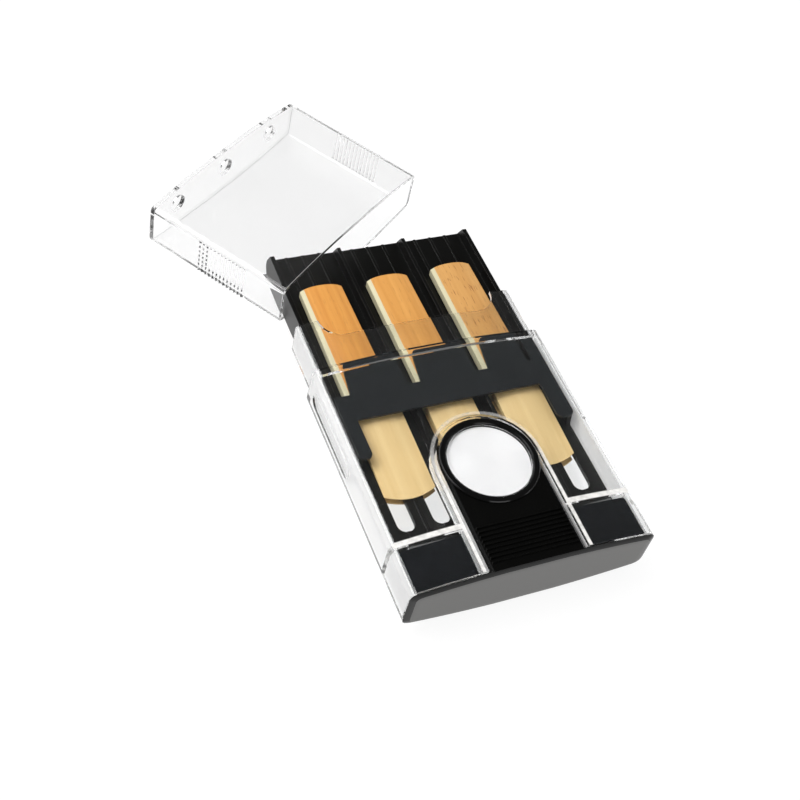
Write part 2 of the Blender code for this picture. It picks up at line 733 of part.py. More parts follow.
# Materials.
clear = plastic("clear_plastic", (0.93, 0.95, 0.96), 0.04, clear=1.0)
window_clear = plastic("window_plastic", (0.96, 0.97, 0.97), 0.03, clear=1.0)
black = plastic("black_plastic", (0.012, 0.012, 0.011), 0.3)
tray_black = plastic("tray_plastic", (0.018, 0.017, 0.016), 0.38)
charcoal = plastic("comb_plastic", (0.03, 0.034, 0.037), 0.45)
cane = plastic("cane", (0.78, 0.5, 0.22), 0.5)
foam_grey = plastic("foam", (0.025, 0.032, 0.04), 0.95)
felt = plastic("felt", (0.75, 0.74, 0.7), 0.95)
card_white = plastic("card", (0.86, 0.86, 0.87), 0.5)

# Frames: the case's middle plane, the drawer that slides in it, its cup, and the lid beside it.
base_y = -BODY_END / 2
case_frame = frame("case_frame", (0, base_y, HALF_DEPTH))
drawer_frame = frame("drawer_frame", (0, base_y, HALF_DEPTH))
cup_frame = frame("cup_frame", (0, base_y + CUP_CENTRE_Y, HALF_DEPTH))
lid_frame = frame("lid_frame", (LID_MOUTH_X, base_y + LID_MOUTH_Y, HALF_DEPTH), LID_TURN)

# The fixed pieces: sleeve, tray and two combs, the second one turned over onto the back.
finish(make_sleeve(), clear, case_frame)
finish(make_lid(), clear, lid_frame)
finish(make_tray(), tray_black, case_frame)
comb = finish(make_comb("comb_front"), charcoal, case_frame)
finish(placed("comb_back", comb.data, (0, 0, 0), (0, math.pi, 0)), charcoal, case_frame)

# The six reeds, which share one shape. Those of the back are turned over.
reed_shape = make_reed("reed").data
bpy.data.objects.remove(bpy.data.objects["reed"])
for face, level in (("front", 1), ("back", -1)):
    for place, centre in zip(("left", "middle", "right"), bay_centres()):
        flip = 0 if face == "front" else math.pi
        turn = LEFT_REED_TURN if (face, place) == ("front", "left") else 0
        heel_y = REED_HEEL_Y + (RIGHT_REED_OUT if (face, place) == ("front", "right") else 0)
        seat = (centre, heel_y, level * REED_SEAT)
        finish(placed(f"reed_{face}_{place}", reed_shape, seat, (0, flip, turn)), cane, case_frame)

# The drawer with its foam blocks, the same block in each of its four corners.
finish(make_drawer(), black, drawer_frame)
foam_shape = make_foam("foam").data
bpy.data.objects.remove(bpy.data.objects["foam"])
foam_turns = {
    "foam_front_right": (0, 0, 0),
    "foam_front_left": (0, 0, math.pi),
    "foam_back_left": (0, math.pi, 0),
    "foam_back_right": (math.pi, 0, 0),
}
for name, turn in foam_turns.items():
    foam = placed(name, foam_shape, (0, FOAM_START + FOAM_LENGTH / 2, 0), turn)
    finish(foam, foam_grey, drawer_frame)

# The indicator in the tongue's end: cup, felt pad, card and window, from the bottom up.
finish(make_cup(), black, cup_frame)
disc_radius = CUP_BARREL - CUP_WALL - DISC_GAP
pad_bottom = CUP_BOTTOM + CUP_FLOOR + SEAT_GAP
card_bottom = pad_bottom + PAD_THICKNESS + SEAT_GAP
window_bottom = card_bottom + CARD_THICKNESS + SEAT_GAP
finish(make_disc("humidity_pad", disc_radius, pad_bottom, PAD_THICKNESS, WINDOW_ROUND), felt, cup_frame)
card = make_disc("indicator_card", disc_radius, card_bottom, CARD_THICKNESS, WINDOW_ROUND)
finish(card, card_white, cup_frame)
window = make_disc("indicator_window", disc_radius, window_bottom, WINDOW_THICKNESS, WINDOW_ROUND)
finish(window, window_clear, cup_frame)
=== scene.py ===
"""The reed case as photographed: open, its lid beside it, its mouth round one corner of the tray."""

import math

import bmesh
import bpy
from mathutils import Euler, Matrix, Vector


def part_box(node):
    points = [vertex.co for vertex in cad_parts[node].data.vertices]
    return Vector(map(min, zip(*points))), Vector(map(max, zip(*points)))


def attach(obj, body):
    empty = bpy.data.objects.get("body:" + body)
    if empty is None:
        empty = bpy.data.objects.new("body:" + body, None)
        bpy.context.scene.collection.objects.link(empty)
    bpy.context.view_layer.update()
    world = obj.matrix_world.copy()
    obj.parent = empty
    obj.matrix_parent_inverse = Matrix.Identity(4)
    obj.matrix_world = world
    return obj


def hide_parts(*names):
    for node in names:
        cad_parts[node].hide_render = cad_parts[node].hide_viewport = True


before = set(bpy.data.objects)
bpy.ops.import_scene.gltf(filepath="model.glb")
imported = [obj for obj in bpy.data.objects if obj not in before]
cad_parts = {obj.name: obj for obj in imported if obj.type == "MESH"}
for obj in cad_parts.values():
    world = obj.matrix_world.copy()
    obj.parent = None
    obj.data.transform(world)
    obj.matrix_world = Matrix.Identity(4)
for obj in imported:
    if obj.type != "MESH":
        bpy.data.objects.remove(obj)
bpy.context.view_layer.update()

scene = bpy.context.scene


# Studio. The case lies on a plain white table. The room's white walls darken towards a dim ceiling,
# lower down on the camera's side. A broad soft lamp hangs behind the case to the left and a weaker
# one in front, and the case is photographed from above and to the left.
TABLE_SIZE = 3.0
TABLE_COLOUR = 0.15
TABLE_GLOW = 0.88
TABLE_DROP = 0.00005
ROOM_LIGHT = 0.7
CEILING_LIGHT = 0.05
CEILING_THROUGH = 0.18
WALL_TOP = 0.12
CEILING_START = 0.5
FRONT_SHADE = 0.6
BOUNCES = 24
PHOTO_WIDTH = 800
FOCAL_PIXELS = 1294.0
SENSOR = 36.0
CLIP_START = 0.01
CAMERA_PLACE = (-0.127, -0.1495, 0.253)
CAMERA_TURN = (39.32, -10.23, -21.69)
KEY_PLACE = (-0.38, 0.24, 0.58)
KEY_SIZE = 0.5
KEY_POWER = 3.3
FRONT_PLACE = (0.05, -0.62, 0.22)
FRONT_SIZE = 0.4
FRONT_POWER = 0.6


def link(name, data):
    item = bpy.data.objects.new(name, data)
    scene.collection.objects.link(item)
    return item


def area_lamp(name, place, size, power):
    """A square lamp that faces the middle of the case."""
    lamp = bpy.data.lights.new(name, "AREA")
    lamp.size = size
    lamp.energy = power
    item = link(name, lamp)
    item.location = place
    item.rotation_euler = (-Vector(place)).to_track_quat("-Z", "Y").to_euler()


def seen_directly(nodes, links):
    """One for rays that show the background: to the camera, off gloss and through clear walls."""
    path = nodes.new("ShaderNodeLightPath")
    total = path.outputs["Is Camera Ray"]
    for ray in ("Is Glossy Ray", "Is Transmission Ray"):
        add = nodes.new("ShaderNodeMath")
        add.operation = "MAXIMUM"
        links.new(total, add.inputs[0])
        links.new(path.outputs[ray], add.inputs[1])
        total = add.outputs[0]
    return total


table_mesh = bmesh.new()
bmesh.ops.create_grid(table_mesh, x_segments=1, y_segments=1, size=TABLE_SIZE / 2)
table_data = bpy.data.meshes.new("table")
table_mesh.to_mesh(table_data)
table_mesh.free()
table_data.transform(Matrix.Translation((0, 0, -TABLE_DROP)))
table = link("table", table_data)

table_paint = bpy.data.materials.new("table_paint")
table_paint.use_nodes = True
nodes, links = table_paint.node_tree.nodes, table_paint.node_tree.links
nodes.clear()
matt = nodes.new("ShaderNodeBsdfDiffuse")
matt.inputs["Color"].default_value = (TABLE_COLOUR, TABLE_COLOUR, TABLE_COLOUR, 1)
glow = nodes.new("ShaderNodeEmission")
glow.inputs["Strength"].default_value = TABLE_GLOW
both = nodes.new("ShaderNodeAddShader")
links.new(matt.outputs[0], both.inputs[0])
links.new(glow.outputs[0], both.inputs[1])
links.new(both.outputs[0], nodes.new("ShaderNodeOutputMaterial").inputs["Surface"])
table_data.materials.append(table_paint)

room = bpy.data.worlds.new("room")
scene.world = room
room.use_nodes = True
nodes, links = room.node_tree.nodes, room.node_tree.links
background = nodes["Background"]
direction = nodes.new("ShaderNodeTexCoord")
height = nodes.new("ShaderNodeSeparateXYZ")
links.new(direction.outputs["Generated"], height.inputs[0])
shown = nodes.new("ShaderNodeMapRange")
shown.interpolation_type = "SMOOTHSTEP"
shown.inputs["From Min"].default_value = WALL_TOP
shown.inputs["From Max"].default_value = CEILING_START
shown.inputs["To Min"].default_value = 1.0
ceiling = nodes.new("ShaderNodeMapRange")
ceiling.inputs["To Min"].default_value = CEILING_LIGHT
ceiling.inputs["To Max"].default_value = CEILING_THROUGH
links.new(nodes.new("ShaderNodeLightPath").outputs["Is Transmission Ray"], ceiling.inputs["Value"])
links.new(ceiling.outputs[0], shown.inputs["To Max"])
front_rise = nodes.new("ShaderNodeMath")
front_rise.operation = "MAXIMUM"
front_rise.inputs[1].default_value = 0.0
front_share = nodes.new("ShaderNodeMath")
front_share.operation = "MULTIPLY"
front_share.inputs[1].default_value = -FRONT_SHADE
links.new(height.outputs["Y"], front_share.inputs[0])
links.new(front_share.outputs[0], front_rise.inputs[0])
lifted = nodes.new("ShaderNodeMath")
links.new(height.outputs["Z"], lifted.inputs[0])
links.new(front_rise.outputs[0], lifted.inputs[1])
links.new(lifted.outputs[0], shown.inputs["Value"])
level = nodes.new("ShaderNodeMapRange")
level.inputs["To Min"].default_value = ROOM_LIGHT
links.new(shown.outputs[0], level.inputs["To Max"])
links.new(seen_directly(nodes, links), level.inputs["Value"])
links.new(level.outputs[0], background.inputs["Strength"])
background.inputs["Color"].default_value = (1, 1, 1, 1)
scene.cycles.max_bounces = BOUNCES
scene.cycles.glossy_bounces = BOUNCES
scene.cycles.transmission_bounces = BOUNCES

area_lamp("key_lamp", KEY_PLACE, KEY_SIZE, KEY_POWER)
area_lamp("front_lamp", FRONT_PLACE, FRONT_SIZE, FRONT_POWER)

lens = bpy.data.cameras.new("camera")
lens.sensor_width = SENSOR
lens.lens = FOCAL_PIXELS * SENSOR / PHOTO_WIDTH
lens.clip_start = CLIP_START
camera = link("camera", lens)
camera.location = CAMERA_PLACE
camera.rotation_euler = Euler([math.radians(turn) for turn in CAMERA_TURN])
scene.camera = camera
scene.view_settings.view_transform = "Standard"


# Tray. The black carrier is moulded in one piece, with side walls, dividers and drain slots on
# both faces. It is satin polystyrene with a faint flow pattern, and every edge is slightly round.
MIDDLE_HEIGHT = 0.008
WELD = 0.000002
FLAT = math.radians(0.4)
CREASE = math.radians(28)
TRAY_EDGE = 0.00012
SIDE_WALL_END = 0.0062
SIDE_WALL_STEP = 0.0008
SIDE_WALL_WIDTH = 0.00125
PLATE_HALF = 0.0006
EDGE_SEGMENTS = 2
NORMAL_WEIGHT = 100
FLOW_SCALE = 90.0
FLOW_DARK = 0.85
FLOW_LIGHT = 1.2
GRAIN_STRENGTH = 0.35


def moulded_copy(node, name, edge, edge_material=-1, shape=None):
    """A copy of a CAD node: its facets joined, smooth where it curves, its sharp edges rounded."""
    mesh = bmesh.new()
    mesh.from_mesh(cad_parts[node].data)
    bmesh.ops.remove_doubles(mesh, verts=mesh.verts, dist=WELD)
    bmesh.ops.dissolve_limit(mesh, angle_limit=FLAT, verts=mesh.verts, edges=mesh.edges)
    if shape:
        shape(mesh)
    data = bpy.data.meshes.new(name)
    mesh.to_mesh(data)
    mesh.free()
    data.shade_smooth()
    data.set_sharp_from_angle(angle=CREASE)
    piece = link(name, data)
    rounding = piece.modifiers.new("edges", "BEVEL")
    rounding.width = edge
    rounding.segments = EDGE_SEGMENTS
    rounding.limit_method = "ANGLE"
    rounding.angle_limit = CREASE
    rounding.harden_normals = True
    rounding.material = edge_material
    levelled = piece.modifiers.new("normals", "WEIGHTED_NORMAL")
    levelled.keep_sharp = True
    levelled.weight = NORMAL_WEIGHT
    return piece


def surface_material(name, colour, roughness, ior=1.5):
    """A Principled material with its nodes at hand: (material, nodes, links, shader)."""
    material = bpy.data.materials.new(name)
    material.use_nodes = True
    nodes, links = material.node_tree.nodes, material.node_tree.links
    shader = nodes["Principled BSDF"]
    shader.inputs["Base Color"].default_value = (*colour, 1)
    shader.inputs["Roughness"].default_value = roughness
    shader.inputs["IOR"].default_value = ior
    return material, nodes, links, shader


def object_noise(nodes, links, scale, stretch=(1, 1, 1), detail=4.0, roughness=0.5):
    """The value of a noise pattern fixed to the piece."""
    place = nodes.new("ShaderNodeTexCoord")
    mapping = nodes.new("ShaderNodeMapping")
    mapping.inputs["Scale"].default_value = stretch
    texture = nodes.new("ShaderNodeTexNoise")
    texture.inputs["Scale"].default_value = scale
    texture.inputs["Detail"].default_value = detail
    texture.inputs["Roughness"].default_value = roughness
    links.new(place.outputs["Object"], mapping.inputs["Vector"])
    links.new(mapping.outputs[0], texture.inputs["Vector"])
    return texture.outputs["Fac"]


def ranged(nodes, links, value, low, high, start=0.0, end=1.0):
    """A value carried from one range to another."""
    node = nodes.new("ShaderNodeMapRange")
    node.inputs["From Min"].default_value = start
    node.inputs["From Max"].default_value = end
    node.inputs["To Min"].default_value = low
    node.inputs["To Max"].default_value = high
    links.new(value, node.inputs["Value"])
    return node.outputs[0]


def bumped(nodes, links, shader, height, strength, distance):
    """Fine relief on a surface."""
    node = nodes.new("ShaderNodeBump")
    node.inputs["Strength"].default_value = strength
    node.inputs["Distance"].default_value = distance
    links.new(height, node.inputs["Height"])
    links.new(node.outputs[0], shader.inputs["Normal"])


def moulded_plastic(name, colour, roughness, spread, grain, depth, shine=0.5):
    """Opaque plastic, card or felt: roughness that varies a little, and a fine grain."""
    material, nodes, links, shader = surface_material(name, colour, roughness)
    shader.inputs["Specular IOR Level"].default_value = shine
    flow = object_noise(nodes, links, FLOW_SCALE)
    links.new(ranged(nodes, links, flow, roughness - spread, roughness + spread), shader.inputs["Roughness"])
    mix = nodes.new("ShaderNodeMix")
    mix.data_type = "RGBA"
    mix.inputs["A"].default_value = (*(FLOW_DARK * part for part in colour), 1)
    mix.inputs["B"].default_value = (*(FLOW_LIGHT * part for part in colour), 1)
    links.new(flow, mix.inputs["Factor"])
    links.new(mix.outputs["Result"], shader.inputs["Base Color"])
    bumped(nodes, links, shader, object_noise(nodes, links, grain, detail=2.0), GRAIN_STRENGTH, depth)
    return material


def end_side_walls(mesh):
    """Ends the side walls under the comb's legs: only the plate goes on to the partition."""
    half = max(vertex.co.x for vertex in mesh.verts)
    for y in (SIDE_WALL_END, SIDE_WALL_END - SIDE_WALL_STEP):
        bmesh.ops.bisect_plane(mesh, geom=mesh.verts[:] + mesh.edges[:] + mesh.faces[:], dist=WELD,
                               plane_co=(0, y, 0), plane_no=(0, 1, 0))
    for vertex in mesh.verts:
        place = vertex.co
        rise = place.z - MIDDLE_HEIGHT
        in_wall = abs(place.x) > half - SIDE_WALL_WIDTH and abs(rise) > PLATE_HALF + WELD
        if in_wall and place.y < SIDE_WALL_END - WELD:
            place.z = MIDDLE_HEIGHT + math.copysign(PLATE_HALF, rise)
    bmesh.ops.remove_doubles(mesh, verts=mesh.verts, dist=WELD)
    bmesh.ops.dissolve_degenerate(mesh, edges=mesh.edges, dist=WELD)


tray = moulded_copy("tray", "tray_body", TRAY_EDGE, shape=end_side_walls)
tray_plastic = moulded_plastic("tray_plastic", (0.0035, 0.0034, 0.0031), roughness=0.3, spread=0.05,
                               grain=2600.0, depth=0.000008, shine=0.28)
tray.data.materials.append(tray_plastic)
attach(tray, "case")
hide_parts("tray")


# Reeds. Each is split from a tube of cane and planed flat below. Its bark stays on the heel half,
# and the vamp is cut down from it to a thin rounded tip, which shows the pale fibres.
REED_BARK = 0.038
REED_HEEL_WIDTH = 0.0115
REED_TIP_WIDTH = 0.013
REED_THICKNESS = 0.0028
REED_EDGE = 0.0019
SIDE_STRIP = -0.84
HEEL_WIDTH_RUN = 0.006
REED_TIP = 0.00015
REED_STEP = 0.0003
TIP_SAG = 0.0018
HEEL_SAG = 0.0006
BARK_SAG = 0.0011
REED_ACROSS = 20
REED_ALONG = 120
LEFT_TURN = math.radians(-0.4)
BARK_TONES = {
    "left": ((0.64, 0.25, 0.044), (0.80, 0.375, 0.082), 0.25),
    "middle": ((0.64, 0.28, 0.056), (0.80, 0.395, 0.102), 0.3),
    "right": ((0.60, 0.29, 0.080), (0.76, 0.42, 0.135), 0.95),
}
FLECK = (0.34, 0.13, 0.035)
VAMP_POWER = 0.92
VAMP_CROWN_SHARE = 0.72
TIP_SAG_POWER = 6
HEEL_SAG_POWER = 8
COARSE_SHARE = 0.32
FIBRE_SHARE = 0.02
FIBRE_RANGE = (0.7, 1.3)
FIBRE_STRENGTH = 0.4
FIBRE_RELIEF = 0.00003
FLECK_SCALE = (2600.0, 260.0, 1)
FLECK_RANGE = (0.6, 0.68)
GRAIN_STEP = 0.1
SIDE_GRAIN_SHIFT = 0.05
BARK_SLOT, CUT_SLOT, SIDE_SLOT = range(3)
REED_NODES = [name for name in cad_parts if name.startswith("reed_")]


def reed_height(across, distance, length):
    """How thick the reed is at a share across it and a distance from its heel."""
    crown = REED_THICKNESS
    edge = REED_EDGE
    start = REED_BARK - BARK_SAG * across**2
    if distance > start:
        vamp = (length - distance) / (length - start)
        crown = REED_TIP + (REED_THICKNESS - REED_STEP - REED_TIP) * max(vamp, 0.0) ** VAMP_POWER
        edge = REED_TIP + (crown - REED_TIP) * VAMP_CROWN_SHARE
    return edge + (crown - edge) * (1 - across**2)


def cane(name, low, high, streak, roughness, flecks):
    """Cane with fibres along Y and brown flecks, from its own UV map: each reed has its own pattern."""
    material, nodes, links, shader = surface_material(name, low, roughness)
    place = nodes.new("ShaderNodeUVMap")
    place.uv_map = "grain"
    values = []
    for scale in (streak, streak * COARSE_SHARE):
        mapping = nodes.new("ShaderNodeMapping")
        mapping.inputs["Scale"].default_value = (scale, scale * FIBRE_SHARE, 1)
        texture = nodes.new("ShaderNodeTexNoise")
        texture.inputs["Scale"].default_value = 1.0
        texture.inputs["Detail"].default_value = 5.0
        links.new(place.outputs[0], mapping.inputs["Vector"])
        links.new(mapping.outputs[0], texture.inputs["Vector"])
        values.append(texture.outputs["Fac"])
    add = nodes.new("ShaderNodeMath")
    add.operation = "ADD"
    links.new(values[0], add.inputs[0])
    links.new(values[1], add.inputs[1])
    ramp = nodes.new("ShaderNodeMix")
    ramp.data_type = "RGBA"
    ramp.inputs["A"].default_value = (*low, 1)
    ramp.inputs["B"].default_value = (*high, 1)
    links.new(ranged(nodes, links, add.outputs[0], 0.0, 1.0, *FIBRE_RANGE), ramp.inputs["Factor"])
    spots = nodes.new("ShaderNodeTexNoise")
    spots.inputs["Scale"].default_value = 1.0
    spots.inputs["Detail"].default_value = 3.0
    mapping = nodes.new("ShaderNodeMapping")
    mapping.inputs["Scale"].default_value = FLECK_SCALE
    links.new(place.outputs[0], mapping.inputs["Vector"])
    links.new(mapping.outputs[0], spots.inputs["Vector"])
    stained = nodes.new("ShaderNodeMix")
    stained.data_type = "RGBA"
    stained.inputs["B"].default_value = (*FLECK, 1)
    stain = ranged(nodes, links, spots.outputs["Fac"], 0.0, flecks, *FLECK_RANGE)
    links.new(stain, stained.inputs["Factor"])
    links.new(ramp.outputs["Result"], stained.inputs["A"])
    links.new(stained.outputs["Result"], shader.inputs["Base Color"])
    bumped(nodes, links, shader, values[0], FIBRE_STRENGTH, FIBRE_RELIEF)
    return material


barks = {
    place: cane("cane_bark_" + place, low, high, streak=900.0, roughness=0.36, flecks=flecks)
    for place, (low, high, flecks) in BARK_TONES.items()
}
cut_cane = cane("cane_cut", (0.84, 0.585, 0.258), (0.93, 0.69, 0.338), streak=700.0, roughness=0.5,
                flecks=0.05)
side_cane = cane("cane_side", (0.52, 0.47, 0.27), (0.80, 0.74, 0.52), streak=500.0, roughness=0.6,
                 flecks=0.1)


def make_reed(node, index):
    """One reed in place of its CAD node, with its heel towards +Y."""
    low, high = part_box(node)
    length = high.y - low.y
    front = "front" in node
    turn = LEFT_TURN if node == "reed_front_left" else 0.0
    heel = Vector(((low.x + high.x) / 2 - length * math.sin(turn), high.y, low.z if front else high.z))
    mesh = bmesh.new()
    bmesh.ops.create_grid(mesh, x_segments=REED_ACROSS, y_segments=REED_ALONG, size=0.5)
    grain = mesh.loops.layers.uv.new("grain")
    for vertex in mesh.verts:
        across = 2 * vertex.co.x
        along = 0.5 - vertex.co.y
        vertex.co.z = across
        vertex.co.y = along
    top = mesh.faces[:]
    places = {}
    for vertex in mesh.verts:
        across = vertex.co.z
        distance = vertex.co.y * length
        width = REED_HEEL_WIDTH + (REED_TIP_WIDTH - REED_HEEL_WIDTH) * distance / length
        shift = TIP_SAG * across**2 * vertex.co.y**TIP_SAG_POWER
        shift -= HEEL_SAG * across**4 * (1 - vertex.co.y) ** HEEL_SAG_POWER
        y = -distance + shift
        point = Vector((width / 2 * across, y, reed_height(across, distance, length)))
        places[vertex] = (point, across, distance)
    for face in top:
        middle_distance = sum(places[v][2] for v in face.verts) / 4
        middle_across = sum(places[v][1] for v in face.verts) / 4
        in_bark = middle_distance < REED_BARK - BARK_SAG * middle_across**2
        face.material_index = BARK_SLOT if in_bark else CUT_SLOT
        at_left = middle_across * (1 if front else -1) < SIDE_STRIP
        if at_left and middle_distance < REED_BARK + HEEL_WIDTH_RUN:
            face.material_index = SIDE_SLOT
        for loop in face.loops:
            place = places[loop.vert]
            loop[grain].uv = (place[0].x + GRAIN_STEP * index, place[0].y)
    for vertex, place in places.items():
        vertex.co = place[0]
    lower = bmesh.ops.extrude_face_region(mesh, geom=top, use_keep_orig=True)
    for item in lower["geom"]:
        if isinstance(item, bmesh.types.BMVert):
            item.co.z = 0
        if isinstance(item, bmesh.types.BMFace):
            item.material_index = CUT_SLOT
    upper = set(top)
    sides = [face for face in mesh.faces if face not in upper]
    for face in sides:
        at_heel = abs(face.calc_center_median().y) < REED_BARK + HEEL_WIDTH_RUN
        face.material_index = SIDE_SLOT if at_heel else CUT_SLOT
        for loop in face.loops:
            co = loop.vert.co
            loop[grain].uv = (co.x + co.z + GRAIN_STEP * index + SIDE_GRAIN_SHIFT, co.y)
    bmesh.ops.recalc_face_normals(mesh, faces=mesh.faces)
    matrix = Matrix.Translation(heel) @ Matrix.Rotation(turn, 4, "Z")
    matrix = matrix @ Matrix.Rotation(0 if front else math.pi, 4, "Y")
    bmesh.ops.transform(mesh, matrix=matrix, verts=mesh.verts)
    data = bpy.data.meshes.new(node + "_cane")
    mesh.to_mesh(data)
    mesh.free()
    data.shade_smooth()
    data.set_sharp_from_angle(angle=CREASE)
    data.materials.append(barks[node.split("_")[-1]])
    data.materials.append(cut_cane)
    data.materials.append(side_cane)
    reed = link(node + "_cane", data)
    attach(reed, node)
    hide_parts(node)


for index, node in enumerate(sorted(REED_NODES)):
    make_reed(node, index)


# Combs. One soft charcoal band on each face, cut into three spring tabs that press the reeds
# down and two legs that clip over the tray's walls.
COMB_EDGE = 0.0001
comb_plastic = moulded_plastic("comb_plastic", (0.0088, 0.0106, 0.0122), roughness=0.42, spread=0.05,
                               grain=1800.0, depth=0.00001, shine=0.28)
for side in ("front", "back"):
    comb = moulded_copy("comb_" + side, "comb_" + side + "_band", COMB_EDGE)
    comb.data.materials.append(comb_plastic)
    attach(comb, "case")
    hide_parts("comb_" + side)


# Drawer. The black end cap, its web and its ribbed tongue are one glossy black moulding. Its rim
# stops just short of the sleeve and turns in a wide curve to the end face, which has a matt grain
# and a lighter grey colour that is painted reflection of the white table in front of it.
DRAWER_EDGE = 0.0001
# Each ring of the cap: its distance from the end as built and as drawn, its shares across and deep.
CAP_RINGS = (
    (0.0, 0.0, 0.965, 0.80),
    (0.00016, 0.0001, 0.978, 0.89),
    (0.0006, 0.00042, 0.991, 0.95),
    (0.0009, 0.0006, 0.995, 0.98),
    (0.0012, 0.0007, 1.0, 1.0),
    (0.0018, 0.0008, 1.0, 1.0),
)
END_RING = 2
RING_REACH = 0.00005
END_FACE_TURN = -0.97


def round_cap(mesh):
    """Makes the cap's rim thinner, rounds it widely and gives the end face its own material."""
    low = min(vertex.co.y for vertex in mesh.verts)
    for vertex in mesh.verts:
        for built, shown, across, deep in CAP_RINGS:
            if abs(vertex.co.y - low - built) < RING_REACH:
                height = MIDDLE_HEIGHT + (vertex.co.z - MIDDLE_HEIGHT) * deep
                vertex.co = (vertex.co.x * across, low + shown, height)
                break
    mesh.normal_update()
    for face in mesh.faces:
        outer = face.calc_center_median().y < low + CAP_RINGS[END_RING][1]
        face.material_index = int(outer and face.normal.y < END_FACE_TURN)


drawer = moulded_copy("drawer", "drawer_body", DRAWER_EDGE, shape=round_cap)
black_gloss = moulded_plastic("black_gloss", (0.0016, 0.0016, 0.0014), roughness=0.24, spread=0.04,
                              grain=2200.0, depth=0.000006, shine=0.3)
# The end face's lighter grey base colour is painted reflection of the white table, on top of its matt grain.
end_grain_painted_reflection = moulded_plastic("end_grain_painted_reflection", (0.062, 0.061, 0.057), roughness=0.42, spread=0.04,
                            grain=2600.0, depth=0.00001, shine=0.9)
drawer.data.materials.append(black_gloss)
drawer.data.materials.append(end_grain_painted_reflection)
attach(drawer, "drawer")
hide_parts("drawer")


# Clear mouldings. The sleeve and the lid are clear polystyrene, polished by the mould. The walls
# inside the sleeve carry light up to its faces, where their ends show as white bars. These bars and
# the white rounded edges at the sleeve's end and round its slot are painted highlight.
SLEEVE_EDGE = 0.00004
BRIGHT_EDGE = 0.0003
LID_EDGE = 0.0001
LID_LINE = 0.0004
WALL_AREA = 0.00001
PARTITION_Y = -0.01925
PARTITION_HALF = 0.00068
SLOT_CENTRE_Y = -0.0035
SLOT_HALF = 0.0126
RIM_MIDDLE = 0.0136
RIM_HALF = 0.00045
ARCH_FADE = (-0.012, 0.004)
ARCH_HIGHLIGHT = 0.3
END_SHIFT = 0.00093
BAR_SOFTNESS = 0.00012
FACE_TURN = 0.85
BRIGHT_SEGMENTS = 4
COLLAR_START = 0.0335
COLLAR_EDGE = 0.00012
FACE_END = 0.033
SLOT_RISE = 0.0068
SLOT_REACH = 0.0002
CLEAR_IOR = 1.49
CLEAR_TINT = (0.985, 0.99, 0.99)
PASSING_TINT = (0.94, 0.95, 0.95)
CLEAR_ROUGHNESS = 0.03
HAZE_SCALE = 60.0
WAVE_SCALE = 45.0
WAVE_STRENGTH = 0.25
SLEEVE_WAVE = 0.00002
LID_WAVE = 0.00001
BAR_HIGHLIGHT_TINT = (0.84, 0.825, 0.80)
HIGHLIGHT_FLOW_SCALE = 700.0
HIGHLIGHT_FLOW = (0.72, 1.0, 0.3, 0.6)
CLEAR_SLOT, HIGHLIGHT_SLOT, FRONT_SLOT, BACK_SLOT, FROSTED_SLOT, COLLAR_SHADOW_SLOT = range(6)
LID_SHADE_SLOT = 1


def clear_shader(nodes, links, shader, output, passing_colour):
    """Shows a shader as it is, and lets lamplight straight through to what lies behind."""
    passing = nodes.new("ShaderNodeBsdfTransparent")
    passing.inputs["Color"].default_value = (*passing_colour, 1)
    path = nodes.new("ShaderNodeLightPath")
    mix = nodes.new("ShaderNodeMixShader")
    links.new(path.outputs["Is Shadow Ray"], mix.inputs[0])
    links.new(shader, mix.inputs[1])
    links.new(passing.outputs[0], mix.inputs[2])
    links.new(mix.outputs[0], output)


def clear_plastic(name, colour, roughness, wave, clearness=1.0, passing=PASSING_TINT):
    """Clear plastic with a faint flow haze."""
    material, nodes, links, shader = surface_material(name, colour, roughness, ior=CLEAR_IOR)
    shader.inputs["Transmission Weight"].default_value = clearness
    haze = object_noise(nodes, links, HAZE_SCALE)
    links.new(ranged(nodes, links, haze, roughness * 0.5, roughness * 1.5), shader.inputs["Roughness"])
    bumped(nodes, links, shader, object_noise(nodes, links, WAVE_SCALE, detail=1.0), WAVE_STRENGTH, wave)
    clear_shader(nodes, links, shader.outputs[0], nodes["Material Output"].inputs["Surface"], passing)
    return material


def calculated(nodes, links, operation, first, second):
    """One sum, product or comparison of a value with another or with a number."""
    node = nodes.new("ShaderNodeMath")
    node.operation = operation
    for socket, value in zip(node.inputs, (first, second)):
        if isinstance(value, float):
            socket.default_value = value
        else:
            links.new(value, socket)
    return node.outputs[0]


def bar(nodes, links, value, middle, half):
    """One within a bar that is 2 halves wide about its middle, zero outside it."""
    away = calculated(nodes, links, "ABSOLUTE", calculated(nodes, links, "SUBTRACT", value, middle), 0.0)
    return ranged(nodes, links, away, 1.0, 0.0, half - BAR_SOFTNESS, half + BAR_SOFTNESS)


